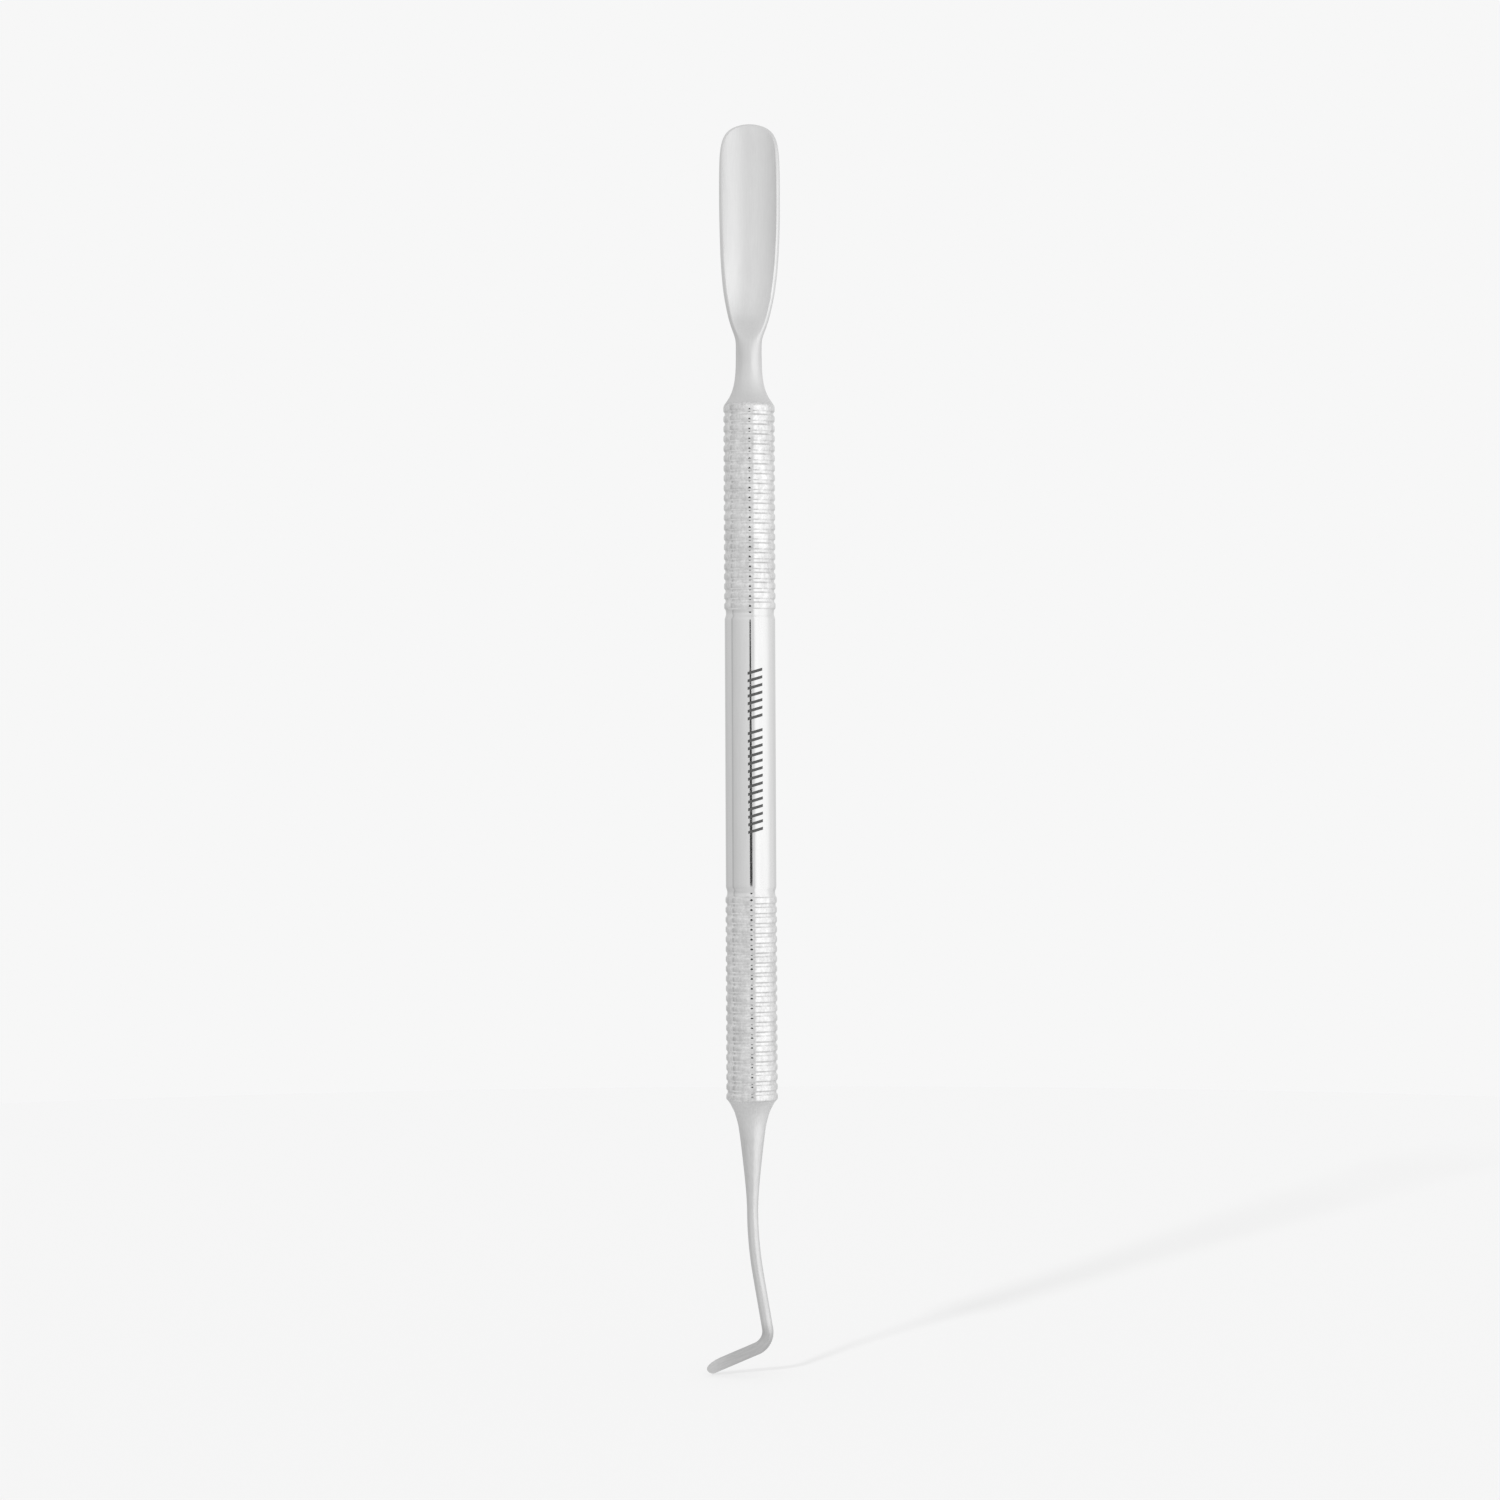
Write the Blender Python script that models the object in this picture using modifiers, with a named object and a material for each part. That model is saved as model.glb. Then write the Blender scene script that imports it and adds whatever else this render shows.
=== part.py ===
"""Double-ended cuticle pusher, in metres, +Z up along the handle.

A hollow turned handle carries a working end at each mouth. The top end is a rounded scoop,
hollow towards -Y. The bottom end is a thin shaft that bends into a small flat blade towards -X.
Each working end has a shoulder that seats on the handle's mouth and a tang that goes down its
bore, where a ring of braze in a groove of the tang holds it. The origin is on the handle's axis,
half way along its smooth grip.
"""

import math

import bmesh
import bpy
from mathutils import Vector

MM = 0.001

# Driving dimensions, in millimetres
CREST_RADIUS = 3.0  # over the ribs: the 6 mm stock that the handle is turned from
SMOOTH_RADIUS = 2.9
RELIEF_RADIUS = 2.75  # the wide groove at each end of the smooth grip
ROOT_RADIUS = 2.78  # the bottom of the groove between two ribs
BORE_RADIUS = 2.1
SMOOTH_HALF = 15.6  # half the length of the smooth grip
RIB_COUNT = 21  # in each of the two ribbed grips
RIB_PITCH = 1.145
RIB_WIDTH = 0.50  # of its flat top
RIB_FLANK = 0.19  # length over which each side of a rib falls to the groove
FIRST_RIB = 17.13  # height of the innermost rib's middle
MOUTH_LIP = 0.26  # from the outermost rib's edge to the handle's mouth
MOUTH_RADIUS = 2.84
GAP = 0.05  # between pieces that touch on the real tool

TANG_RADIUS = BORE_RADIUS - GAP
TANG_LENGTH = 8.0
TANG_CHAMFER = 0.4
TANG_TAPER = 1.0  # length of the lead-in at the tang's end
RING_SETBACK = 0.6  # from the shoulder to the braze groove
RING_HEIGHT = 0.5
RING_DEPTH = 0.35
NECK_RADIUS = 1.51

SCOOP_TIP = 73.2  # height of the scoop's tip
SCOOP_HALF_WIDTH = 3.57
SCOOP_TIP_LENGTH = 4.6  # the stretch over which the outline rounds off at the tip
SCOOP_TIP_CURVE = 1.32  # the rounding dies away by a factor e over this length
SCOOP_TIP_FLAT = 0.5  # half the width of the last section
SCOOP_TIP_SECTIONS = 10
SCOOP_INNER_RADIUS = 4.6  # hollow side, across the scoop
SCOOP_OUTER_RADIUS = 4.9
SCOOP_RUN_OUT = (45.9, 51.2)  # the hollow starts at the first height and is whole at the second
RIM_WIDTH = 0.42
RIM_SHARE = 0.3  # the most of the half width that a rim may take

SHAFT_RADIUS = 0.645
SHAFT_STRAIGHT = 53.3  # depth below the origin where the shaft starts to lean
SHAFT_LEAN = math.radians(9.5)
SHAFT_LEAN_RADIUS = 46.0
SHAFT_LEAN_SECTIONS = 5
ELBOW_DEPTH = 68.88  # depth of the corner that the shaft's and the blade's centrelines make
ELBOW_RADIUS = 2.15
ELBOW_SECTIONS = 7
BLADE_SLOPE = math.radians(22.84)  # below the horizontal
BLADE_LENGTH = 7.98  # from the corner to the tip
BLADE_HALF_WIDTH = 0.72
BLADE_UPPER_ROUND = 1.6  # the upper edge rounds off over this length at the tip, the lower one less
BLADE_LOWER_ROUND = 0.75
BLADE_TIP_SECTIONS = 7
BLADE_TIP_SWEEP = math.radians(85)  # of the upper edge's rounding, which leaves a narrow flat end
BLADE_ROOT_HALF_THICK = 0.46
BLADE_TIP_HALF_THICK = 0.16
BLADE_FLAT = 1.6  # how far a round section is pressed flat: more gives a wider flat and narrower bevels

ROUND_STEPS = 24
SCOOP_BACK_POINTS = 13
SCOOP_FRONT_POINTS = 9

HANDLE_HALF = FIRST_RIB + (RIB_COUNT - 1) * RIB_PITCH + RIB_WIDTH / 2 + MOUTH_LIP
SHOULDER = HANDLE_HALF + GAP

# Neck and cone above the handle's mouth: (height above the shoulder, radius)
UPPER_CONE = (
    (0.0, 2.80),
    (0.42, 2.52),
    (0.90, 2.22),
    (1.75, 1.89),
    (2.50, 1.71),
    (3.40, 1.59),
    (4.40, 1.53),
)
# The same below it, where the shaft is thinner
LOWER_CONE = (
    (0.0, 2.82),
    (0.43, 2.54),
    (0.90, 2.30),
    (1.36, 2.07),
    (1.90, 1.90),
    (2.75, 1.67),
    (3.70, 1.51),
    (5.50, 1.28),
    (7.40, 1.07),
    (9.30, 0.87),
    (11.10, 0.72),
    (12.20, 0.66),
)
# Scoop: (height, half width, y of the back, y of the hollow's floor)
SCOOP_STATIONS = (
    (45.9, NECK_RADIUS, NECK_RADIUS, -NECK_RADIUS),
    (47.3, 1.51, NECK_RADIUS, -1.25),
    (48.0, 1.56, NECK_RADIUS, -1.05),
    (48.7, 1.76, 1.51, -0.80),
    (49.4, 2.02, 1.50, -0.58),
    (50.1, 2.25, 1.49, -0.40),
    (50.8, 2.44, 1.47, -0.26),
    (52.2, 2.75, 1.43, -0.06),
    (53.6, 3.00, 1.38, 0.06),
    (55.0, 3.17, 1.33, 0.14),
    (56.8, 3.33, 1.26, 0.20),
    (59.4, 3.48, 1.16, 0.26),
    (62.2, 3.55, 1.06, 0.29),
    (65.4, SCOOP_HALF_WIDTH, 0.93, 0.28),
    (68.6, SCOOP_HALF_WIDTH, 0.76, 0.24),
    (73.2, SCOOP_HALF_WIDTH, 0.32, 0.07),
)


def mix(first, second, share):
    return first + (second - first) * share


def ease(value, start, end):
    """0 before start, 1 after end, and smooth between them."""
    share = min(1.0, max(0.0, (value - start) / (end - start)))
    return share * share * (3 - 2 * share)


def read_table(table, height):
    """The rest of the table's row at this height, between its rows."""
    for low, high in zip(table, table[1:]):
        if height <= high[0]:
            share = max(0.0, (height - low[0]) / (high[0] - low[0]))
            return [mix(a, b, share) for a, b in zip(low[1:], high[1:])]
    return list(table[-1][1:])


def clear_scene():
    for item in list(bpy.data.objects):
        bpy.data.objects.remove(item, do_unlink=True)


def steel(name, colour, roughness):
    material = bpy.data.materials.new(name)
    material.use_nodes = True
    shader = material.node_tree.nodes["Principled BSDF"]
    shader.inputs["Base Color"].default_value = (*colour, 1.0)
    shader.inputs["Metallic"].default_value = 1.0
    shader.inputs["Roughness"].default_value = roughness
    return material


def add_object(name, mesh, material, collection):
    mesh.materials.append(material)
    item = bpy.data.objects.new(name, mesh)
    collection.objects.link(item)
    return item


def turned(name, outline, material, collection):
    """A closed outline of (radius, height) points, down the outside and up the inside, spun round Z."""
    mesh = bpy.data.meshes.new(name)
    points = [(radius * MM, 0.0, height * MM) for radius, height in outline]
    edges = [(i, (i + 1) % len(points)) for i in range(len(points))]
    mesh.from_pydata(points, edges, [])
    item = add_object(name, mesh, material, collection)
    screw = item.modifiers.new("spin", "SCREW")
    screw.axis = "Z"
    screw.steps = screw.render_steps = ROUND_STEPS
    screw.use_merge_vertices = True
    screw.merge_threshold = 0.00001
    return item


def lofted(name, sections, material, collection):
    """A closed solid through rings of points, all of one count, from its first ring to its last."""
    mesh = bpy.data.meshes.new(name)
    body = bmesh.new()
    rings = [[body.verts.new(Vector(point) * MM) for point in ring] for ring in sections]
    for ring, following in zip(rings, rings[1:]):
        for i in range(len(ring)):
            j = (i + 1) % len(ring)
            body.faces.new((ring[i], ring[j], following[j], following[i]))
    body.faces.new(reversed(rings[0]))
    body.faces.new(rings[-1])
    bmesh.ops.recalc_face_normals(body, faces=body.faces)
    body.to_mesh(mesh)
    body.free()
    mesh.shade_smooth()
    mesh.set_sharp_from_angle(angle=math.radians(40))
    return add_object(name, mesh, material, collection)


def grip_outline():
    """The handle's outside from its top mouth down to the smooth grip."""
    outline = [(MOUTH_RADIUS, HANDLE_HALF)]
    for rib in reversed(range(RIB_COUNT)):
        middle = FIRST_RIB + rib * RIB_PITCH
        outline.append((CREST_RADIUS, middle + RIB_WIDTH / 2))
        outline.append((CREST_RADIUS, middle - RIB_WIDTH / 2))
        if rib:
            outline.append((ROOT_RADIUS, middle - RIB_WIDTH / 2 - RIB_FLANK))
            outline.append((ROOT_RADIUS, middle - RIB_PITCH + RIB_WIDTH / 2 + RIB_FLANK))
    outline.append((RELIEF_RADIUS, FIRST_RIB - RIB_WIDTH / 2 - 2 * RIB_FLANK))
    outline.append((RELIEF_RADIUS, SMOOTH_HALF + 2 * RIB_FLANK))
    outline.append((SMOOTH_RADIUS, SMOOTH_HALF))
    return outline


def make_handle(material, collection):
    top = grip_outline()
    bottom = [(radius, -height) for radius, height in reversed(top)]
    bore = [(BORE_RADIUS, -HANDLE_HALF), (BORE_RADIUS, HANDLE_HALF)]
    return turned("handle_tube", top + bottom + bore, material, collection)


def make_braze_ring(name, side, material, collection):
    """The ring of filler in the tang's groove. side is 1 at the top of the handle and -1 at the bottom."""
    inner = TANG_RADIUS - RING_DEPTH + GAP
    high = SHOULDER - RING_SETBACK - GAP
    low = high - RING_HEIGHT + 2 * GAP
    heights = (high, low) if side > 0 else (-low, -high)
    outline = [
        (TANG_RADIUS, heights[0]),
        (TANG_RADIUS, heights[1]),
        (inner, heights[1]),
        (inner, heights[0]),
    ]
    return turned(name, outline, material, collection)


def tang_profile():
    """(height, radius) of a tang inside the handle, from its end up to the shoulder."""
    groove_top = SHOULDER - RING_SETBACK
    groove_bottom = groove_top - RING_HEIGHT
    end = SHOULDER - TANG_LENGTH
    return [
        (end, TANG_RADIUS - TANG_CHAMFER),
        (end + TANG_TAPER, TANG_RADIUS),
        (groove_bottom, TANG_RADIUS),
        (groove_bottom, TANG_RADIUS - RING_DEPTH),
        (groove_top, TANG_RADIUS - RING_DEPTH),
        (groove_top, TANG_RADIUS),
        (SHOULDER, TANG_RADIUS),
    ]


def scoop_half_width(height, table_width):
    """The table's half width, rounded off towards the tip."""
    from_tip = max(0.0, SCOOP_TIP - height)
    rounded = math.sqrt(1 - math.exp(-from_tip / SCOOP_TIP_CURVE))
    return max(SCOOP_TIP_FLAT, table_width * rounded)


def sagitta(radius, half_chord):
    """How far an arc of this radius falls from its middle to the ends of its chord."""
    return radius - math.sqrt(max(0.0, radius * radius - half_chord * half_chord))


def scoop_ring(height):
    """One section of the scoop: over the back from +X to -X, and back along the hollow side."""
    table_width, back, floor = read_table(SCOOP_STATIONS, height)
    half_width = scoop_half_width(height, table_width)
    hollow = ease(height, *SCOOP_RUN_OUT)
    rim = min(RIM_WIDTH, RIM_SHARE * half_width)
    inner = half_width - rim
    ring = []
    for i in range(SCOOP_BACK_POINTS):
        angle = math.pi * i / (SCOOP_BACK_POINTS - 1)
        x = half_width * math.cos(angle)
        oval = back * math.sin(angle)
        arc = back - sagitta(SCOOP_OUTER_RADIUS, abs(x))
        ring.append((x, mix(oval, arc, hollow), height))
    for i in range(SCOOP_FRONT_POINTS):
        x = -inner * math.cos(math.pi * i / (SCOOP_FRONT_POINTS - 1))
        oval = -NECK_RADIUS * math.sqrt(1 - (x / half_width) ** 2)
        arc = floor - sagitta(SCOOP_INNER_RADIUS, abs(x))
        ring.append((x, mix(oval, arc, hollow), height))
    return ring


def round_ring(height, radius):
    """A circle on the handle's axis, its points spread across as scoop_ring spreads them."""
    inner = (1 - RIM_SHARE) * radius
    ring = []
    for i in range(SCOOP_BACK_POINTS):
        angle = math.pi * i / (SCOOP_BACK_POINTS - 1)
        ring.append((radius * math.cos(angle), radius * math.sin(angle), height))
    for i in range(SCOOP_FRONT_POINTS):
        x = -inner * math.cos(math.pi * i / (SCOOP_FRONT_POINTS - 1))
        ring.append((x, -math.sqrt(radius * radius - x * x), height))
    return ring


def scoop_heights():
    """Heights for the sections: the table's own, then closer together as the tip rounds off."""
    heights = [row[0] for row in SCOOP_STATIONS if row[0] <= SCOOP_TIP - SCOOP_TIP_LENGTH]
    for i in reversed(range(SCOOP_TIP_SECTIONS)):
        heights.append(SCOOP_TIP - SCOOP_TIP_LENGTH * (i / SCOOP_TIP_SECTIONS) ** 2)
    return heights


def make_scoop(material, collection):
    profile = tang_profile()
    profile += [(SHOULDER + rise, radius) for rise, radius in UPPER_CONE]
    sections = [round_ring(height, radius) for height, radius in profile]
    sections += [scoop_ring(height) for height in scoop_heights()]
    return lofted("rounded_pusher", sections, material, collection)


def elbow():
    """The elbow's corner, the centre of its arc, and the headings before and after it, in the XZ plane.

    A heading is the direction of travel as an angle from +X: -pi/2 is straight down.
    """
    before = SHAFT_LEAN - math.pi / 2
    after = BLADE_SLOPE - math.pi
    lean_end = lean_point(SHAFT_LEAN)
    drop = ELBOW_DEPTH + lean_end.y
    corner = Vector((lean_end.x + drop * math.tan(SHAFT_LEAN), -ELBOW_DEPTH))
    reach = ELBOW_RADIUS * math.tan((before - after) / 2)
    start = corner - direction(before) * reach
    centre = start - sideways(before) * ELBOW_RADIUS
    return corner, centre, before, after


def direction(heading):
    return Vector((math.cos(heading), math.sin(heading)))


def sideways(heading):
    """To the left of the direction of travel, which is the outside of the elbow."""
    return Vector((-math.sin(heading), math.cos(heading)))


def lean_point(turned_by):
    """A point on the arc that takes the shaft from straight down to its lean."""
    x = SHAFT_LEAN_RADIUS * (1 - math.cos(turned_by))
    z = -SHAFT_STRAIGHT - SHAFT_LEAN_RADIUS * math.sin(turned_by)
    return Vector((x, z))


def shaft_path():
    """(place, heading, flattening) for each section from the straight shaft to the elbow's end."""
    corner, centre, before, after = elbow()
    stations = []
    for i in range(SHAFT_LEAN_SECTIONS + 1):
        turned_by = SHAFT_LEAN * i / SHAFT_LEAN_SECTIONS
        stations.append((lean_point(turned_by), turned_by - math.pi / 2, 0.0))
    for i in range(ELBOW_SECTIONS + 1):
        share = i / ELBOW_SECTIONS
        heading = mix(before, after, share)
        stations.append((centre + sideways(heading) * ELBOW_RADIUS, heading, ease(share, -0.1, 1)))
    return stations


def blade_ring(place, heading, upper, lower, half_thick, flattening):
    """A section across the path, as wide as its upper and lower edges and pressed flat in Y.

    At no flattening it is round, and at full flattening it has two flats with a bevel at each edge.
    """
    across = -sideways(heading)
    ring = []
    for i in range(ROUND_STEPS):
        angle = 2 * math.pi * i / ROUND_STEPS
        out = math.cos(angle)
        pressed = math.sin(angle) * mix(1.0, BLADE_FLAT, flattening)
        point = place + across * (out * (upper if out > 0 else lower))
        ring.append((point.x, max(-1.0, min(1.0, pressed)) * half_thick, point.y))
    return ring


def blade_edges(distance):
    """The upper and lower edges' distances from the blade's centreline, rounded off at the tip."""
    edges = []
    for length in (BLADE_UPPER_ROUND, BLADE_LOWER_ROUND):
        along = max(0.0, (distance - (BLADE_LENGTH - length)) / length)
        edges.append(BLADE_HALF_WIDTH * math.sqrt(max(0.0, 1 - along * along)))
    return edges


def blade_distances(root):
    """Distances from the corner for the blade's sections, closer together as the tip rounds off."""
    round_start = BLADE_LENGTH - BLADE_UPPER_ROUND
    distances = [(root + round_start) / 2, round_start]
    for i in range(1, BLADE_TIP_SECTIONS + 1):
        swept = BLADE_TIP_SWEEP * i / BLADE_TIP_SECTIONS
        distances.append(round_start + BLADE_UPPER_ROUND * math.sin(swept))
    return distances


def make_blade(material, collection):
    down = -math.pi / 2
    sections = []
    profile = tang_profile()
    profile += [(SHOULDER + drop, radius) for drop, radius in LOWER_CONE]
    for depth, radius in profile:
        sections.append(blade_ring(Vector((0.0, -depth)), down, radius, radius, radius, 0.0))
    for place, heading, flattening in shaft_path():
        half_width = mix(SHAFT_RADIUS, BLADE_HALF_WIDTH, flattening)
        half_thick = mix(SHAFT_RADIUS, BLADE_ROOT_HALF_THICK, flattening)
        sections.append(blade_ring(place, heading, half_width, half_width, half_thick, flattening))
    corner, centre, before, after = elbow()
    root = ELBOW_RADIUS * math.tan((before - after) / 2)
    for distance in blade_distances(root):
        upper, lower = blade_edges(distance)
        share = (distance - root) / (BLADE_LENGTH - root)
        half_thick = mix(BLADE_ROOT_HALF_THICK, BLADE_TIP_HALF_THICK, share)
        place = corner + direction(after) * distance
        sections.append(blade_ring(place, after, upper, lower, half_thick, 1.0))
    return lofted("bent_blade", sections, material, collection)


def main():
    clear_scene()
    collection = bpy.data.collections.new("cuticle_pusher")
    bpy.context.scene.collection.children.link(collection)
    polished = steel("polished_steel", (0.66, 0.66, 0.67), 0.08)
    satin = steel("satin_steel", (0.64, 0.64, 0.65), 0.34)
    braze = steel("silver_braze", (0.78, 0.72, 0.55), 0.4)
    make_handle(polished, collection)
    make_scoop(satin, collection)
    make_blade(satin, collection)
    make_braze_ring("upper_braze_ring", 1, braze, collection)
    make_braze_ring("lower_braze_ring", -1, braze, collection)


main()
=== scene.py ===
"""Looks of the double-ended cuticle pusher, in metres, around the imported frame.

The three steel pieces are rebuilt here with fine surfaces: a polished handle with rounded ribs, and
two satin working ends whose grinding lines run along them. The braze rings inside the handle stay as
the frame has them. Sizes below are in millimetres unless they say otherwise.
"""

import math

import bpy
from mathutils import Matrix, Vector


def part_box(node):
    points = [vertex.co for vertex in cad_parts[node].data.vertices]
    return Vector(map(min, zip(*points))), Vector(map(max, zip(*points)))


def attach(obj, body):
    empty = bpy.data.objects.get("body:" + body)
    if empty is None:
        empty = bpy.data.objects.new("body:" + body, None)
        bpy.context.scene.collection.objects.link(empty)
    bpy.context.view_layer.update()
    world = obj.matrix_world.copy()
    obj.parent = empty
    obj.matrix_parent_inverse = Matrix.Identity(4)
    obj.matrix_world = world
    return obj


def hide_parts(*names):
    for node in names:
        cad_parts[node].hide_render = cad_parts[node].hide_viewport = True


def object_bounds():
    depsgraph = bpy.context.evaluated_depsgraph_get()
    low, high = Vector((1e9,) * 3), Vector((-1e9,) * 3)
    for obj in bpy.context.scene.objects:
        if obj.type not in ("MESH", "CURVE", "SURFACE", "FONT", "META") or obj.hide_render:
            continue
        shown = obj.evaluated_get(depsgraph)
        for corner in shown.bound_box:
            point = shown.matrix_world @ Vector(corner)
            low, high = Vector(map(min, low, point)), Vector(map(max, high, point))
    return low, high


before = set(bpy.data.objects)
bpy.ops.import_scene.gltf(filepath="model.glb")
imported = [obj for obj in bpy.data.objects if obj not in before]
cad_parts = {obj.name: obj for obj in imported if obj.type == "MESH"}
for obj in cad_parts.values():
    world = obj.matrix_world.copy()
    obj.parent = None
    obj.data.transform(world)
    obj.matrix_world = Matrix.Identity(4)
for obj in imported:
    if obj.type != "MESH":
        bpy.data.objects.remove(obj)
CAD_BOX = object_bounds()

MM = 0.001

# Handle
CREST_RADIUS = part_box("handle_tube")[1].x / MM
HANDLE_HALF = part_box("handle_tube")[1].z / MM
GRIP_MIDDLE = -0.11  # the ribs and the smooth grip are centred on this height
RIB_COUNT = 21
FIRST_RIB = 17.12  # from the grip's middle to the first crest
LAST_RIB = 40.03
RIB_PITCH = (LAST_RIB - FIRST_RIB) / (RIB_COUNT - 1)
BORE_RADIUS = 2.1
TURNED_STEPS = 78
# How steeply the surface falls away from a crest: (distance from it, slope)
GROOVE_SLOPES = (
    (0.0, 0.0),
    (0.235, 0.085),
    (0.29, 0.74),
    (0.425, 0.77),
    (0.47, 0.085),
    (RIB_PITCH / 2, 0.0),
)
RELIEF_SLOPES = (
    (0.0, 0.0),
    (0.25, 0.09),
    (0.32, 0.85),
    (0.40, 0.75),
    (0.53, 0.20),
    (0.91, 0.0),
    (1.13, -0.32),
    (1.36, -0.32),
    (1.61, 0.0),
)
SLOPE_STEPS = 3  # points on each piece of those slopes
SMOOTH_INSETS = (2.0, 0.3)  # extra rings that keep the smooth grip straight up to its ends

# Tangs, and the grooves in them for the braze rings
SEAT = HANDLE_HALF + 0.005  # where a working end's shoulder meets the handle's mouth
TANG_RADIUS = 2.05
TANG_LENGTH = 8.0
TANG_CHAMFER = 0.4
TANG_TAPER = 1.0
RING_SETBACK = 0.555
RING_HEIGHT = 0.5
RING_DEPTH = 0.35

# Scoop
SCOOP_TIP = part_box("rounded_pusher")[1].z / MM
SCOOP_HALF_WIDTH = 3.55
SCOOP_LEAN = 0.17  # how far the scoop stands towards +X of the handle's axis
LEAN_RISE = (45.9, 62.0)  # the heights between which it gets there
NECK_RADIUS = 1.51
TIP_CURVE = 1.32  # the tip's rounding dies away by a factor e over this length
TIP_FLAT = 0.1  # half the width of the last section
TIP_LENGTH = 4.6
TIP_SECTIONS = 36
HOLLOW_RADIUS = 4.6
RUN_OUT = (45.9, 51.2)  # the hollow starts at the first height and is whole at the second
RIM_WIDTH = 0.42
TIP_RIM_WIDTH = 0.2
RIM_DEPTH = 1.9  # how deep a rim's rounding is, in its own widths
RIM_SHARE = 0.85  # the most of the thickness that a rim's rounding may take
BACK_POINTS = 49
FRONT_POINTS = 37
RIM_POINTS = 7
SECTION_STEP = 0.35  # between the sections of the scoop and the neck

# Bent blade
SHAFT_RADIUS = 0.645
SHAFT_STRAIGHT = 53.3
SHAFT_LEAN = math.radians(9.5)
SHAFT_LEAN_RADIUS = 46.0
ELBOW_DEPTH = 68.88
ELBOW_RADIUS = 2.15
BLADE_SLOPE = math.radians(22.84)
BLADE_LENGTH = 7.98
BLADE_HALF_WIDTH = 0.72
BLADE_UPPER_ROUND = 2.1
BLADE_LOWER_ROUND = 0.75
BLADE_ROOT_HALF_THICK = 0.46
BLADE_TIP_HALF_THICK = 0.22
BLADE_FLAT = 1.3
BLADE_TIP_BEVEL = 1.8
BLADE_TIP_SHARE = 0.35  # of the thickness there, left at the end of the bevel
FLATTENING_START = -0.1  # as a share of the elbow, so just before it
BLADE_POINTS = 64
LEAN_STEPS = 16
STRAIGHT_STEPS = 12
ELBOW_STEPS = 20
BLADE_STEPS = 12
BLADE_TIP_STEPS = 24
BLADE_TIP_SWEEP = math.radians(88)  # of the quarter turn that rounds the tip off

# (height above the seat, radius)
UPPER_CONE = (
    (0.0, 2.80),
    (0.42, 2.52),
    (0.90, 2.22),
    (1.75, 1.89),
    (2.50, 1.71),
    (3.40, 1.59),
    (4.40, 1.53),
    (5.35, NECK_RADIUS),
)
LOWER_CONE = (
    (0.0, 2.86),
    (0.43, 2.54),
    (0.90, 2.30),
    (1.36, 2.07),
    (1.90, 1.90),
    (2.75, 1.67),
    (3.70, 1.51),
    (5.50, 1.28),
    (7.40, 1.07),
    (9.30, 0.87),
    (11.10, 0.72),
    (12.20, 0.66),
    (12.75, SHAFT_RADIUS),
)
# (height, half width, y of the back, y of the hollow's floor)
SCOOP_STATIONS = (
    (45.9, NECK_RADIUS, NECK_RADIUS, -NECK_RADIUS),
    (47.3, 1.51, NECK_RADIUS, -1.25),
    (48.0, 1.56, NECK_RADIUS, -1.05),
    (48.7, 1.76, 1.51, -0.80),
    (49.4, 2.02, 1.50, -0.58),
    (50.1, 2.25, 1.49, -0.40),
    (50.8, 2.44, 1.47, -0.26),
    (52.2, 2.75, 1.43, -0.06),
    (53.6, 3.00, 1.38, 0.06),
    (55.0, 3.17, 1.33, 0.14),
    (56.8, 3.33, 1.26, 0.20),
    (59.4, 3.46, 1.16, 0.26),
    (62.2, 3.53, 1.06, 0.29),
    (65.4, SCOOP_HALF_WIDTH, 0.93, 0.28),
    (68.6, SCOOP_HALF_WIDTH, 0.76, 0.24),
    (73.2, SCOOP_HALF_WIDTH, 0.32, 0.07),
)

# Etched mark: two blocks of slanted hatching along the smooth grip
HATCHES = ((-9.5, 14), (3.65, 7))  # (height of the first stroke, number of strokes)
STROKE_PITCH = 0.88
STROKE_WIDTH = 0.34  # along the handle
STROKE_SLANT = 0.5
STROKE_ARC = (math.radians(-6), math.radians(28.5))  # round the handle from the side facing -Y
STROKE_LIFT = 0.004
STROKE_STEPS = 6

# Finishes. A stretch is (where it starts, where it is whole), from the middle along the centreline.
# Scales of noise are per metre, in X, Y and Z where there are three, and reliefs are in metres.
NOISE_RANGE = (0.3, 0.7)  # the values that noise usually has
GRIT_SCALE = (16000, 16000, 16000)
GRIT_RELIEF = 0.0000008

# Polished steel
RIBBED = (16.4, 17.0)
BLASTED = (39.9, 40.5)
BLASTED_RAGGEDNESS = 0.8  # how far noise moves the edge of the blasting
RING_SCALE = (300, 300, 12000)
RING_RELIEF = 0.0000003
WIPE_SCALE = (2500, 2500, 250)
WIPE_TONES = (0.605, 0.63)
WIPE_ROUGHNESS = (0.05, 0.10)
BLASTED_ROUGHNESS = 0.42
WAVE_SCALE = (1400, 1400, 700)
WAVE_RELIEF = 0.000006
SPECK_SCALE = (3800, 3800, 3200)
SPECK_TONES = (-0.08, 0.06)
BLOTCH_SCALE = (1100, 1100, 450)
BLOTCH_TONES = (-0.06, 0.07)

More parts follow.
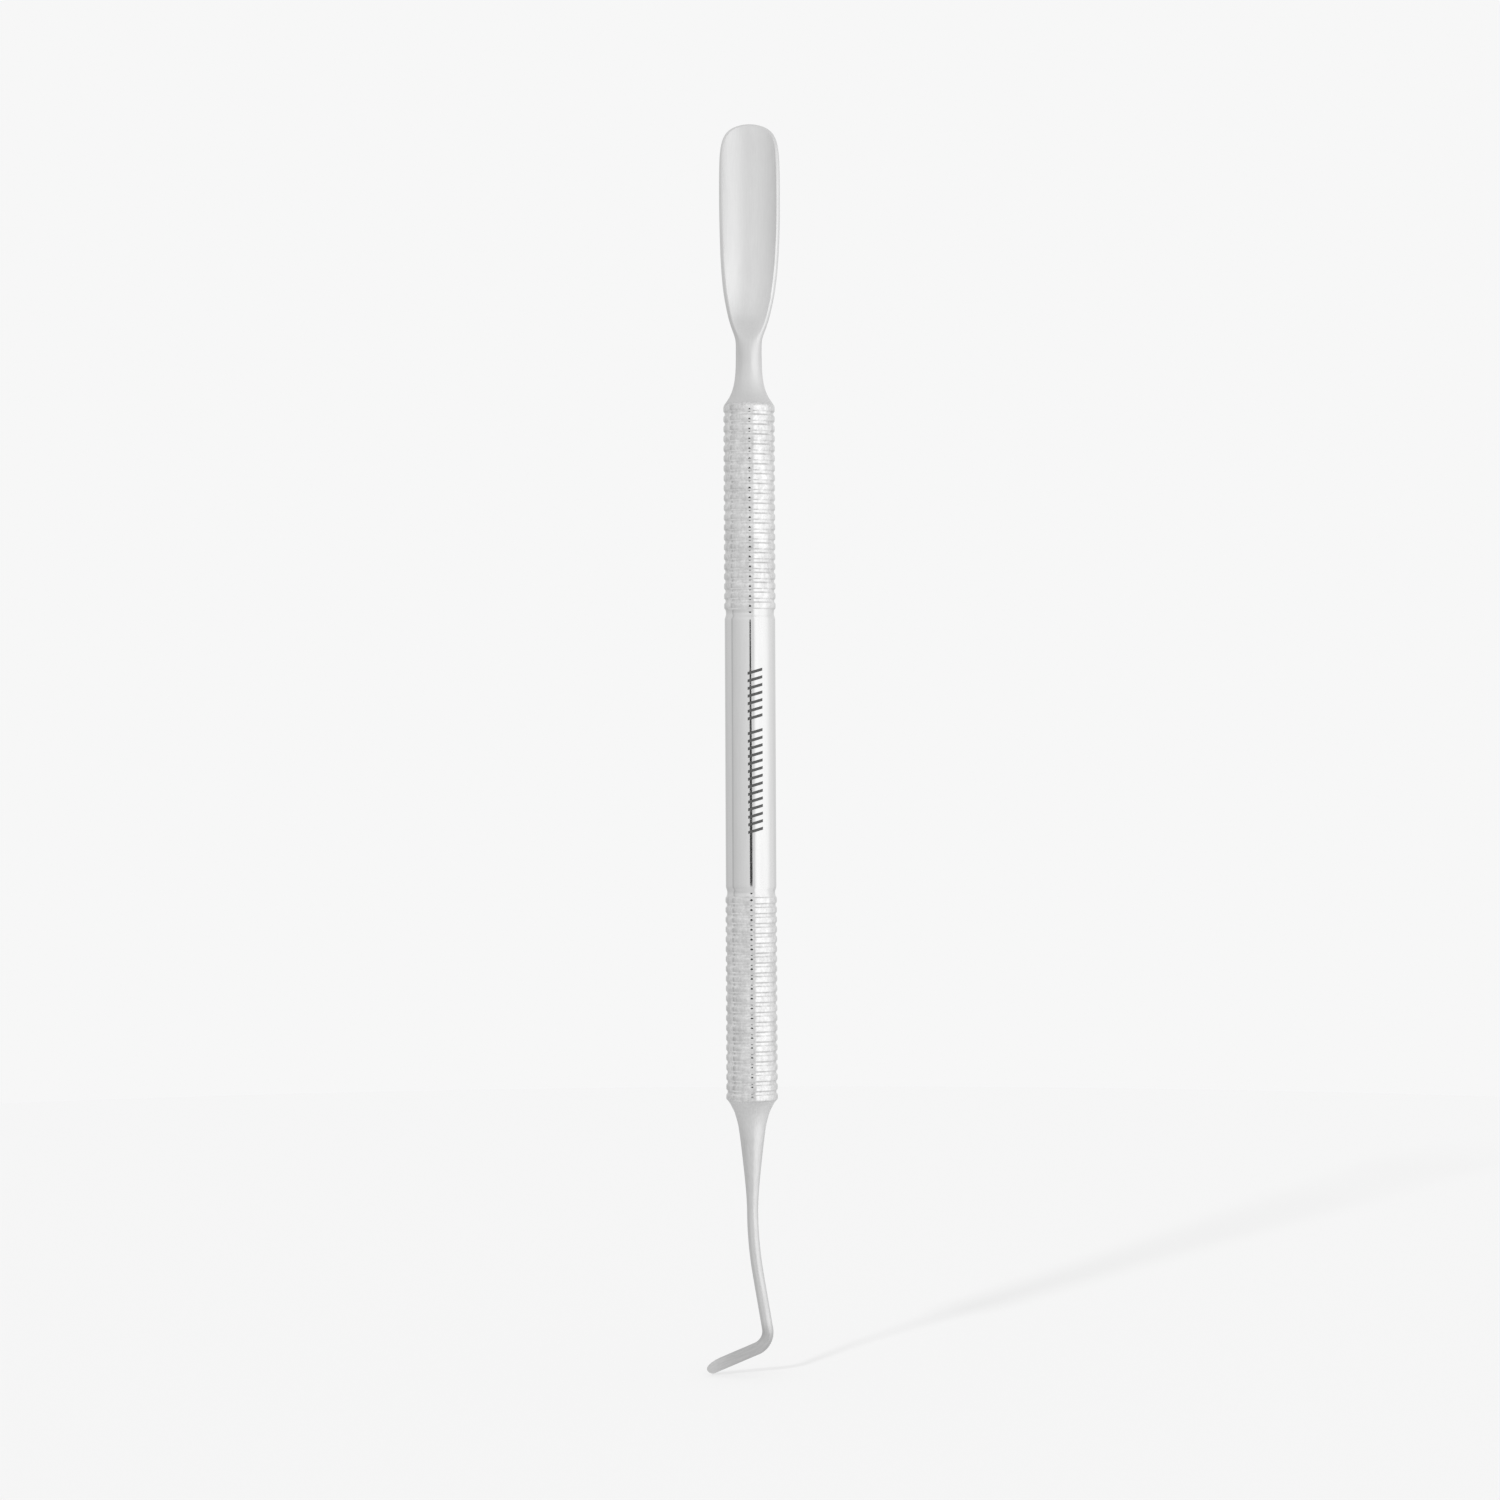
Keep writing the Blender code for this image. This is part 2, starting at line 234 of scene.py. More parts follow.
# Satin steel, from the cones outwards. A row of tones is (where it starts, where it is whole, tone).
CONE_TONE = 0.62
NECK_TONE = 0.58
NECK_TONE_STRETCH = (43.5, 45.5)
SCOOP_TONES = ((47.5, 54.0, 0.636),)
# The blade is darker from the elbow on, and its second row is a painted highlight on the bevel at its tip.
BLADE_TONES_AND_TIP_HIGHLIGHT = ((66.4, 68.0, 0.465), (72.9, 75.9, 0.55))
SCOOP_GRAIN = 0.018  # how far the grinding lines change the tone
BLADE_GRAIN = 0.04
CONE_ROUGHNESS = 0.62
NECK_ROUGHNESS = (0.37, 0.45)
NECK_ROUGHNESS_STRETCH = (41.5, 45.0)
SCOOP_ROUGHNESS = (0.32, 0.39)
BLADE_ROUGHNESS = (0.37, 0.45)
END_ROUGHNESS_STRETCH = (47.5, 54.0)
LINE_SCALE = (9000, 9000, 350)
LINE_RELIEF = 0.000003
CLOUD_SCALE = (900, 900, 300)

# Etched oxide and braze
ETCHED_SCALE = 9000
ETCHED_TONES = (0.05, 0.085)
BRAZE_COLOUR = (0.78, 0.72, 0.55)
BRAZE_SCALE = 2500
BRAZE_ROUGHNESS = (0.32, 0.5)
BRAZE_RELIEF = 0.000004

# Studio, in metres and degrees
CAMERA_DISTANCE = 0.455
CAMERA_PLACE = (-0.00006, 0.00023)  # its x and z
CAMERA_LENS = 93.7  # millimetres, as SENSOR_WIDTH
SENSOR_WIDTH = 36
CAMERA_ROLL = 0.2585
CLIP_START = 0.01
FLOOR_RADIUS = 0.39
FLOOR_POINTS = 128
FLOOR_GAP = 0.0002  # between the blade's tip and the floor
FLOOR_GREY = 0.40
FLOOR_GLOW = 0.442
KEY_STRENGTH = 1.3
KEY_SPREAD = 5
KEY_AZIMUTH = 27.5  # where its light goes: 0 is away from the camera and 90 is towards +X
KEY_DESCENT = 28
BACKGROUND = 0.93  # what the camera sees
DAYLIGHT = 1.0  # what lights the floor
# What the steel mirrors: (azimuth, brightness). 0 is the camera's side and 90 is towards +X.
SURROUNDINGS = (
    (-180, 0.72),
    (-144, 0.75),
    (-120, 0.86),
    (-97, 0.89),
    (-93, 0.66),
    (-88, 0.68),
    (-84, 0.83),
    (-50, 0.94),
    (-10, 1.07),
    (14, 1.03),
    (20, 1.0),
    (128, 1.0),
    (157, 0.86),
    (180, 0.72),
)
# The softbox on the right bends round the tool. It fades smoothly into the surroundings between two
# heights above the middle, and between two others below it: (azimuth, brightness, first height above,
# last height above)
SOFTBOX = (
    (15, 1.03, 0.046, 0.086),
    (24, 1.50, 0.046, 0.086),
    (45, 1.50, 0.050, 0.105),
    (66, 1.50, 0.048, 0.108),
    (74, 1.47, 0.046, 0.108),
    (84, 1.39, 0.044, 0.108),
    (98, 1.19, 0.044, 0.108),
    (114, 1.10, 0.044, 0.108),
    (130, 1.00, 0.044, 0.108),
)
SOFTBOX_BELOW = (0.066, 0.106)
SOFTBOX_DISTANCE = 0.07
SOFTBOX_ROWS = 36
WALLS = (0.92, 1.07)  # how much of SURROUNDINGS there is low down and high up
WALL_HEIGHTS = (-0.14, 0.13)  # the sines of the elevations that these belong to
CEILING = 0.97  # straight up and straight down
CEILING_HEIGHTS = (0.4, 0.75)
LENS_AZIMUTH = 1.0
LENS_SHAPE = (  # (height, half its width)
    (-0.052, 0.0),
    (-0.047, 0.024),
    (-0.034, 0.045),
    (-0.018, 0.047),
    (0.0, 0.039),
    (0.020, 0.029),
    (0.036, 0.021),
    (0.048, 0.013),
    (0.052, 0.0),
)
LENS_STEPS = 40
LENS_BRIGHTNESS = 0.06


def mix(first, second, share):
    return first + (second - first) * share


def ease(value, start, end):
    """0 before start, 1 after end, and smooth between them."""
    share = min(1.0, max(0.0, (value - start) / (end - start)))
    return share * share * (3 - 2 * share)


def read_table(table, place):
    """The rest of the table's row at this place, on smooth curves through its rows."""
    last = len(table) - 1
    low = 0
    while low < last - 1 and place > table[low + 1][0]:
        low += 1
    span = table[low + 1][0] - table[low][0]
    share = min(1.0, max(0.0, (place - table[low][0]) / span))
    values = []
    for column in range(1, len(table[0])):
        start, end = table[low][column], table[low + 1][column]
        leaving = slope(table, low, column) * span
        arriving = slope(table, low + 1, column) * span
        square, cube = share**2, share**3
        value = start * (2 * cube - 3 * square + 1) + end * (3 * square - 2 * cube)
        value += leaving * (cube - 2 * square + share) + arriving * (cube - square)
        values.append(value)
    return values


def slope(table, row, column):
    before, after = max(0, row - 1), min(len(table) - 1, row + 1)
    rise = table[after][column] - table[before][column]
    return rise / (table[after][0] - table[before][0])


def sagitta(radius, half_chord):
    """How far an arc of this radius falls from its middle to the ends of its chord."""
    return radius - math.sqrt(max(0.0, radius * radius - half_chord * half_chord))


# Meshes


def new_mesh(name, points, faces, material):
    mesh = bpy.data.meshes.new(name)
    mesh.from_pydata(points, [], faces)
    mesh.materials.append(material)
    return mesh


def new_object(name, data):
    added = bpy.data.objects.new(name, data)
    bpy.context.scene.collection.objects.link(added)
    return added


def skin(name, rings, material, unbent=None, closed=False, sharp=40):
    """A solid through rings of points of one count. unbent holds the points with the bends taken out.

    A closed solid joins its last ring to its first, and an open one has a cap at each end.
    """
    count = len(rings[0])
    points = [Vector(point) * MM for ring in rings for point in ring]
    faces = []
    for i in range(len(rings) if closed else len(rings) - 1):
        near, far = i * count, (i + 1) % len(rings) * count
        for j in range(count):
            k = (j + 1) % count
            faces.append((near + j, near + k, far + k, far + j))
    if not closed:
        faces.append(tuple(reversed(range(count))))
        faces.append(tuple(range((len(rings) - 1) * count, len(rings) * count)))
    mesh = new_mesh(name, points, faces, material)
    grain = mesh.attributes.new("unbent", "FLOAT_VECTOR", "POINT")
    source = points if unbent is None else [Vector(p) * MM for ring in unbent for p in ring]
    grain.data.foreach_set("vector", [value for point in source for value in point])
    mesh.shade_smooth()
    mesh.set_sharp_from_angle(angle=math.radians(sharp))
    return new_object(name, mesh)


def circle(height, radius, count):
    turns = [2 * math.pi * i / count for i in range(count)]
    return [(radius * math.cos(turn), radius * math.sin(turn), height) for turn in turns]


def fall(slopes):
    """(distance, radius) from a crest along slopes, which change evenly between the given ones."""
    distance, radius = 0.0, CREST_RADIUS
    points = [(distance, radius)]
    for (start, first), (end, last) in zip(slopes, slopes[1:]):
        step = (end - start) / SLOPE_STEPS
        for i in range(SLOPE_STEPS):
            radius -= step * mix(first, last, (i + 0.5) / SLOPE_STEPS)
            points.append((start + step * (i + 1), radius))
    return points


def mouth_slopes(length, drop):
    """Slopes from the last crest that reach the handle's mouth, lower by drop."""
    flat, start = GROOVE_SLOPES[1]
    end = 2 * (drop - flat * start / 2) / (length - flat) - start
    return (GROOVE_SLOPES[0], GROOVE_SLOPES[1], (length, end))


def grip_profile(side, mouth_radius):
    """(height, radius) of the outside from the grip's middle to the mouth at this side, 1 or -1."""
    relief = fall(RELIEF_SLOPES)[::-1]
    smooth_end, smooth_radius = FIRST_RIB - relief[0][0], relief[0][1]
    profile = [(smooth_end - inset, smooth_radius) for inset in SMOOTH_INSETS]
    profile += [(FIRST_RIB - distance, radius) for distance, radius in relief]
    groove = fall(GROOVE_SLOPES)
    for i in range(RIB_COUNT - 1):
        crest = FIRST_RIB + i * RIB_PITCH
        profile += [(crest + distance, radius) for distance, radius in groove[1:]]
        profile += [(crest + RIB_PITCH - distance, radius) for distance, radius in groove[-2::-1]]
    length = HANDLE_HALF - LAST_RIB - side * GRIP_MIDDLE
    to_mouth = fall(mouth_slopes(length, CREST_RADIUS - mouth_radius))
    profile += [(LAST_RIB + distance, radius) for distance, radius in to_mouth[1:]]
    return [(GRIP_MIDDLE + side * height, radius) for height, radius in profile]


def make_handle(material):
    upper = grip_profile(1, UPPER_CONE[0][1])
    lower = grip_profile(-1, LOWER_CONE[0][1])
    bore = [(HANDLE_HALF, BORE_RADIUS), (-HANDLE_HALF, BORE_RADIUS)]
    rings = [circle(height, radius, TURNED_STEPS) for height, radius in lower[::-1] + upper + bore]
    return skin("handle", rings, material, closed=True, sharp=30)


def tang_profile():
    """(height, radius) of a tang inside the handle, from its end up to the shoulder."""
    groove_top = SEAT - RING_SETBACK
    groove_bottom = groove_top - RING_HEIGHT
    end = SEAT - TANG_LENGTH
    return [
        (end, TANG_RADIUS - TANG_CHAMFER),
        (end + TANG_TAPER, TANG_RADIUS),
        (groove_bottom, TANG_RADIUS),
        (groove_bottom, TANG_RADIUS - RING_DEPTH),
        (groove_top, TANG_RADIUS - RING_DEPTH),
        (groove_top, TANG_RADIUS),
        (SEAT, TANG_RADIUS),
    ]


def cone_profile(cone):
    """(height, radius) along a cone, read at even steps from the seat."""
    length = cone[-1][0]
    steps = math.ceil(length / SECTION_STEP)
    return [(SEAT + length * i / steps, read_table(cone, length * i / steps)[0]) for i in range(steps + 1)]


def outline(half_width, from_tip):
    """Half the width of an outline that is rounded off at its tip."""
    return half_width * math.sqrt(1 - math.exp(-max(0.0, from_tip) / TIP_CURVE))


def front_places(half_width, inner):
    """x across the hollow side, from -X to +X: over a rim, the hollow and the other rim."""
    rim = [mix(inner, half_width, math.sin(math.pi / 2 * i / RIM_POINTS)) for i in range(1, RIM_POINTS)]
    hollow = [-inner * math.cos(math.pi * i / (FRONT_POINTS - 1)) for i in range(FRONT_POINTS)]
    return [-x for x in reversed(rim)] + hollow + rim


def scoop_ring(height):
    """One section of the scoop: over the back from +X to -X, and back along the hollow side."""
    whole, back, floor = read_table(SCOOP_STATIONS, height)
    from_tip = SCOOP_TIP - height
    half_width = max(TIP_FLAT, outline(whole, from_tip))
    rim = mix(RIM_WIDTH, TIP_RIM_WIDTH, ease(-from_tip, -TIP_LENGTH, 0))
    inner = max(TIP_FLAT / 4, outline(whole - rim, from_tip - rim))
    round_start = max(0.0, 1 - from_tip / rim)  # above 0 where the section misses the hollow
    hollow = ease(height, *RUN_OUT)
    lip = floor - sagitta(HOLLOW_RADIUS, inner)
    rim_depth = min(RIM_DEPTH * rim, RIM_SHARE * (back - floor))
    edge = lip + rim_depth
    ring = []
    for i in range(BACK_POINTS):
        angle = math.pi * i / (BACK_POINTS - 1)
        x = half_width * math.cos(angle)
        arc = mix(back, edge, (x / half_width) ** 2)
        ring.append((x, mix(back * math.sin(angle), arc, hollow), height))
    for x in front_places(half_width, inner):
        oval = -NECK_RADIUS * math.sqrt(max(0.0, 1 - (x / half_width) ** 2))
        over_rim = mix(round_start, 1.0, max(0.0, (abs(x) - inner) / (half_width - inner)))
        arc = floor - sagitta(HOLLOW_RADIUS, min(abs(x), inner))
        arc += rim_depth * (1 - math.sqrt(max(0.0, 1 - over_rim * over_rim)))
        ring.append((x, mix(oval, arc, hollow), height))
    lean = SCOOP_LEAN * ease(height, *LEAN_RISE)
    return [(x + lean, y, z) for x, y, z in ring]


def round_ring(height, radius):
    """A circle on the handle's axis, its points spread across as scoop_ring spreads them."""
    ring = []
    for i in range(BACK_POINTS):
        angle = math.pi * i / (BACK_POINTS - 1)
        ring.append((radius * math.cos(angle), radius * math.sin(angle), height))
    for x in front_places(radius, radius - RIM_WIDTH):
        ring.append((x, -math.sqrt(radius * radius - x * x), height))
    return ring


def scoop_heights():
    start, end = SCOOP_STATIONS[0][0], SCOOP_TIP - TIP_LENGTH
    steps = math.ceil((end - start) / SECTION_STEP)
    heights = [mix(start, end, i / steps) for i in range(1, steps)]
    for i in reversed(range(TIP_SECTIONS)):
        heights.append(SCOOP_TIP - TIP_LENGTH * (i / (TIP_SECTIONS - 1)) ** 2)
    return heights


def make_scoop(material):
    profile = tang_profile() + cone_profile(UPPER_CONE)
    rings = [round_ring(height, radius) for height, radius in profile]
    rings += [scoop_ring(height) for height in scoop_heights()]
    return skin("rounded_scoop", rings, material, sharp=45)


def direction(heading):
    """In the XZ plane, heading is the angle of travel from +X: -pi/2 is straight down."""
    return Vector((math.cos(heading), math.sin(heading)))


def sideways(heading):
    """To the left of the direction of travel, which is the outside of the elbow."""
    return Vector((-math.sin(heading), math.cos(heading)))


def lean_point(turned_by):
    """A point on the arc that takes the shaft from straight down to its lean."""
    x = SHAFT_LEAN_RADIUS * (1 - math.cos(turned_by))
    z = -SHAFT_STRAIGHT - SHAFT_LEAN_RADIUS * math.sin(turned_by)
    return Vector((x, z))


def elbow():
    """The elbow's corner, the centre of its arc, the headings before and after it, and its reach.

    The reach is how far the arc's ends are from the corner.
    """
    before = SHAFT_LEAN - math.pi / 2
    after = BLADE_SLOPE - math.pi
    lean_end = lean_point(SHAFT_LEAN)
    drop = ELBOW_DEPTH + lean_end.y
    corner = Vector((lean_end.x + drop * math.tan(SHAFT_LEAN), -ELBOW_DEPTH))
    reach = ELBOW_RADIUS * math.tan((before - after) / 2)
    start = corner - direction(before) * reach
    centre = start - sideways(before) * ELBOW_RADIUS
    return corner, centre, before, after, reach


def blade_ring(place, heading, upper, lower, half_thick, flattening):
    """A section across the path, as wide as its upper and lower edges and pressed flat in Y."""
    across = -sideways(heading)
    ring = []
    for out, depth in section(upper, lower, half_thick, flattening):
        point = place + across * out
        ring.append((point.x, depth, point.y))
    return ring


def section(upper, lower, half_thick, flattening):
    """(distance across, y) round a section of the shaft or the blade."""
    outline = []
    for i in range(BLADE_POINTS):
        angle = 2 * math.pi * i / BLADE_POINTS
        out = math.cos(angle)
        pressed = math.sin(angle) * mix(1.0, BLADE_FLAT, flattening)
        outline.append((out * (upper if out > 0 else lower), max(-1.0, min(1.0, pressed)) * half_thick))
    return outline


def blade_stations():
    """(place, heading, upper, lower, half thickness, flattening) from the tang to the blade's tip."""
    down = -math.pi / 2
    stations = []
    for depth, radius in tang_profile() + cone_profile(LOWER_CONE):
        stations.append((Vector((0.0, -depth)), down, radius, radius, radius, 0.0))
    corner, centre, before, after, root = elbow()
    for i in range(1, LEAN_STEPS + 1):
        turned_by = SHAFT_LEAN * i / LEAN_STEPS
        place = lean_point(turned_by)
        stations.append((place, down + turned_by, SHAFT_RADIUS, SHAFT_RADIUS, SHAFT_RADIUS, 0.0))
    elbow_start = centre + sideways(before) * ELBOW_RADIUS
    for i in range(1, STRAIGHT_STEPS):
        place = lean_point(SHAFT_LEAN).lerp(elbow_start, i / STRAIGHT_STEPS)
        stations.append((place, before, SHAFT_RADIUS, SHAFT_RADIUS, SHAFT_RADIUS, 0.0))
    for i in range(ELBOW_STEPS + 1):
        share = i / ELBOW_STEPS
        heading = mix(before, after, share)
        flattening = ease(share, FLATTENING_START, 1)
        half_width = mix(SHAFT_RADIUS, BLADE_HALF_WIDTH, flattening)
        half_thick = mix(SHAFT_RADIUS, BLADE_ROOT_HALF_THICK, flattening)
        place = centre + sideways(heading) * ELBOW_RADIUS
        stations.append((place, heading, half_width, half_width, half_thick, flattening))
    for distance in blade_distances(root):
        upper, lower = blade_edges(distance)
        half_thick = blade_half_thick(distance, root)
        stations.append((corner + direction(after) * distance, after, upper, lower, half_thick, 1.0))
    return stations


def blade_distances(root):
    """Distances from the corner for the blade's sections, closer together as the tip rounds off."""
    round_start = BLADE_LENGTH - BLADE_UPPER_ROUND
    distances = [mix(root, round_start, i / BLADE_STEPS) for i in range(1, BLADE_STEPS + 1)]
    for i in range(1, BLADE_TIP_STEPS + 1):
        swept = BLADE_TIP_SWEEP * i / BLADE_TIP_STEPS
        distances.append(round_start + BLADE_UPPER_ROUND * math.sin(swept))
    return distances


def blade_edges(distance):
    """The upper and lower edges' distances from the blade's centreline, rounded off at the tip."""
    edges = []
    for length in (BLADE_UPPER_ROUND, BLADE_LOWER_ROUND):
        along = max(0.0, (distance - (BLADE_LENGTH - length)) / length)
        edges.append(BLADE_HALF_WIDTH * math.sqrt(max(0.0, 1 - along * along)))
    return edges


def blade_half_thick(distance, root):
    """Half the blade's thickness at this distance from the corner."""
    share = (distance - root) / (BLADE_LENGTH - root)
    taper = mix(BLADE_ROOT_HALF_THICK, BLADE_TIP_HALF_THICK, share)
    bevel = min(1.0, (BLADE_LENGTH - distance) / BLADE_TIP_BEVEL)
    return taper * mix(BLADE_TIP_SHARE, 1.0, bevel)


def make_blade(material):
    rings, unbent = [], []
    travelled = SEAT - TANG_LENGTH
    last = None
    for station in blade_stations():
        place, outline = station[0], section(*station[2:])
        travelled += (place - last).length if last else 0.0
        last = place
        rings.append(blade_ring(*station))
        unbent.append([(out, depth, -travelled) for out, depth in outline])
    return skin("bent_blade_end", rings, material, unbent=unbent)


def make_strokes(material):
    """Etched strokes, as thin patches that lie on the smooth grip."""
    points, faces = [], []
    radius = fall(RELIEF_SLOPES)[-1][1] + STROKE_LIFT
    for start, count in HATCHES:
        for number in range(count):
            first = len(points)
            foot = start + number * STROKE_PITCH
            for i in range(STROKE_STEPS + 1):
                share = i / STROKE_STEPS
                turn = mix(*STROKE_ARC, share)
                low = foot + STROKE_SLANT * share
                for height in (low, low + STROKE_WIDTH):
                    points.append(Vector((math.sin(turn) * radius, -math.cos(turn) * radius, height)) * MM)
            for i in range(STROKE_STEPS):
                corner = first + 2 * i
                faces.append((corner, corner + 2, corner + 3, corner + 1))
    return new_object("etched_strokes", new_mesh("etched_strokes", points, faces, material))


# Materials


def new_material(name, metallic, roughness=None, colour=None):
    """A material and its shader. What is left out comes from nodes, which the caller links."""
    material = bpy.data.materials.new(name)
    material.use_nodes = True
    shader = material.node_tree.nodes["Principled BSDF"]
    shader.inputs["Metallic"].default_value = metallic
    if roughness is not None:
        shader.inputs["Roughness"].default_value = roughness
    if colour is not None:
        shader.inputs["Base Color"].default_value = (*colour, 1.0)
    return material, shader


def feed(tree, socket, value):
    """Give an input socket its value, which is a number or an output socket."""
    if isinstance(value, (int, float)):
        socket.default_value = value
    else:
        tree.links.new(value, socket)


def math_node(tree, operation, *values):
    node = tree.nodes.new("ShaderNodeMath")
    node.operation = operation
    for socket, value in zip(node.inputs, values):
        feed(tree, socket, value)
    return node.outputs[0]


def unbent_place(tree):
    """The coordinates that the pieces store, with their bends taken out."""
    place = tree.nodes.new("ShaderNodeAttribute")
    place.attribute_name = "unbent"
    return place.outputs["Vector"]


def streaks(tree, scale, detail):
    """Noise stretched by scale, per metre, along the unbent piece."""
    stretch = tree.nodes.new("ShaderNodeMapping")
    stretch.inputs["Scale"].default_value = scale
    noise = tree.nodes.new("ShaderNodeTexNoise")
    noise.inputs["Scale"].default_value = 1.0
    noise.inputs["Detail"].default_value = detail
    noise.inputs["Roughness"].default_value = 0.6
    tree.links.new(unbent_place(tree), stretch.inputs["Vector"])
    tree.links.new(stretch.outputs["Vector"], noise.inputs["Vector"])
    return noise.outputs["Fac"]


def remap(tree, source, before, after):
    """The source with the two values before mapped to the two values after, and clamped to them."""
    span = tree.nodes.new("ShaderNodeMapRange")
    span.inputs["From Min"].default_value, span.inputs["From Max"].default_value = before
    span.inputs["To Min"].default_value, span.inputs["To Max"].default_value = after
    tree.links.new(source, span.inputs["Value"])
    return span.outputs["Result"]


def spread(tree, noise, low, high):
    """The noise's usual range mapped to low and high."""
    return remap(tree, noise, NOISE_RANGE, (low, high))


def shade(tree, noise, low, high):
    """A grey from low to high over the noise's usual range."""
    ramp = tree.nodes.new("ShaderNodeValToRGB")
    for stop, position, grey in zip(ramp.color_ramp.elements, NOISE_RANGE, (low, high)):
        stop.position = position
        stop.color = (grey, grey, grey, 1.0)
    tree.links.new(noise, ramp.inputs["Fac"])
    return ramp.outputs["Color"]


def bump(tree, source, height, normal=None, where=None):
    """The source as a relief of this height, in metres, all over or in proportion to where."""
    relief = tree.nodes.new("ShaderNodeBump")
    relief.inputs["Strength"].default_value = 1.0
    relief.inputs["Distance"].default_value = height
    tree.links.new(source, relief.inputs["Height"])
    if where:
        tree.links.new(where, relief.inputs["Strength"])
    if normal:
        tree.links.new(normal, relief.inputs["Normal"])
    return relief.outputs["Normal"]


def beyond(tree, start, end):
    """0 up to start above or below the middle, and 1 from end on, in millimetres."""
    split = tree.nodes.new("ShaderNodeSeparateXYZ")
    tree.links.new(unbent_place(tree), split.inputs["Vector"])
    height = math_node(tree, "ABSOLUTE", split.outputs["Z"])
    return remap(tree, height, (start * MM, end * MM), (0.0, 1.0))


def ragged(tree, share, noise, amount):
    """The share with its edge broken up by noise."""
    shift = math_node(tree, "MULTIPLY_ADD", noise, amount, -amount / 2)
    total = math_node(tree, "ADD", share, shift)
    total.node.use_clamp = True
    return total


def blend(tree, share, low, high):
    """From low to high, which are sockets or numbers, as the share grows from 0 to 1."""
    mixed = tree.nodes.new("ShaderNodeMix")
    for name, value in (("Factor", share), ("A", low), ("B", high)):
        feed(tree, mixed.inputs[name], value)
    return mixed.outputs["Result"]


def polished_steel():
    """Turned and buffed to a near mirror, with faint rings round it and a few wipe marks.

    The ribs are a little wavy and mottled, and the blasting of the working ends reaches over the
    outermost ones.
    """
    material, shader = new_material("polished_steel", 1.0)
    tree = material.node_tree
    rings = streaks(tree, RING_SCALE, 3)
    wipes = streaks(tree, WIPE_SCALE, 4)
    waves = streaks(tree, WAVE_SCALE, 2)
    grit = streaks(tree, GRIT_SCALE, 2)
    ribbed = beyond(tree, *RIBBED)
    blasted = ragged(tree, beyond(tree, *BLASTED), waves, BLASTED_RAGGEDNESS)
    specks = spread(tree, streaks(tree, SPECK_SCALE, 3), *SPECK_TONES)
    blotches = spread(tree, streaks(tree, BLOTCH_SCALE, 2), *BLOTCH_TONES)
    mottle = math_node(tree, "MULTIPLY", math_node(tree, "ADD", specks, blotches), ribbed)
    tone = math_node(tree, "ADD", spread(tree, wipes, *WIPE_TONES), mottle)
    tree.links.new(tone, shader.inputs["Base Color"])
    roughness = blend(tree, blasted, spread(tree, wipes, *WIPE_ROUGHNESS), BLASTED_ROUGHNESS)
    tree.links.new(roughness, shader.inputs["Roughness"])
    normal = bump(tree, rings, RING_RELIEF)
    normal = bump(tree, waves, WAVE_RELIEF, normal, ribbed)
    normal = bump(tree, grit, GRIT_RELIEF, normal, blasted)
    tree.links.new(normal, shader.inputs["Normal"])
    return material


def satin_steel(name, tones_and_highlights, end_roughness, grain):
    """Ground along its length, then blasted: long fine lines under a soft sheen.

    It is dull at the cones, next to the handle, and darker in the necks. The rows of tones change it
    again further out, and end_roughness is that of the working end. On the blade, the last row of
    tones is a painted highlight on the bevel at its tip.
    """
    material, shader = new_material(name, 1.0)
    tree = material.node_tree
    lines = streaks(tree, LINE_SCALE, 5)
    clouds = streaks(tree, CLOUD_SCALE, 3)
    grit = streaks(tree, GRIT_SCALE, 2)
    tone = blend(tree, beyond(tree, *NECK_TONE_STRETCH), CONE_TONE, NECK_TONE)
    for start, whole, next_tone in tones_and_highlights:
        tone = blend(tree, beyond(tree, start, whole), tone, next_tone)
    tone = math_node(tree, "ADD", tone, spread(tree, lines, -grain, grain))
    tree.links.new(tone, shader.inputs["Base Color"])
    neck = spread(tree, clouds, *NECK_ROUGHNESS)
    end = spread(tree, clouds, *end_roughness)
    roughness = blend(tree, beyond(tree, *NECK_ROUGHNESS_STRETCH), CONE_ROUGHNESS, neck)
    roughness = blend(tree, beyond(tree, *END_ROUGHNESS_STRETCH), roughness, end)
    tree.links.new(roughness, shader.inputs["Roughness"])
    normal = bump(tree, lines, LINE_RELIEF, bump(tree, grit, GRIT_RELIEF))
    tree.links.new(normal, shader.inputs["Normal"])
    return material


def object_noise(tree, scale, detail):
    """Noise of one scale, per metre, in the object's own coordinates."""
    coordinates = tree.nodes.new("ShaderNodeTexCoord")
    noise = tree.nodes.new("ShaderNodeTexNoise")
    noise.inputs["Scale"].default_value = scale
    noise.inputs["Detail"].default_value = detail
    tree.links.new(coordinates.outputs["Object"], noise.inputs["Vector"])
    return noise.outputs["Fac"]


def etched_steel():
    """Dark oxide that a laser leaves, a little uneven."""
    material, shader = new_material("etched_steel", 0.3, 0.5)
    tree = material.node_tree
    tone = shade(tree, object_noise(tree, ETCHED_SCALE, 3), *ETCHED_TONES)
    tree.links.new(tone, shader.inputs["Base Color"])
    return material


def silver_braze():
    """Melted and set, so its surface is uneven."""
    material, shader = new_material("silver_braze", 1.0, colour=BRAZE_COLOUR)
    tree = material.node_tree
    noise = object_noise(tree, BRAZE_SCALE, 4)
    tree.links.new(spread(tree, noise, *BRAZE_ROUGHNESS), shader.inputs["Roughness"])
    tree.links.new(bump(tree, noise, BRAZE_RELIEF), shader.inputs["Normal"])
    return material


# Studio


def make_camera():
    data = bpy.data.cameras.new("camera")
    data.lens = CAMERA_LENS
    data.sensor_width = SENSOR_WIDTH
    data.clip_start = CLIP_START
    camera = new_object("camera", data)
    camera.location = (CAMERA_PLACE[0], -CAMERA_DISTANCE, CAMERA_PLACE[1])
    camera.rotation_euler = (math.radians(90), math.radians(CAMERA_ROLL), 0)
    bpy.context.scene.camera = camera


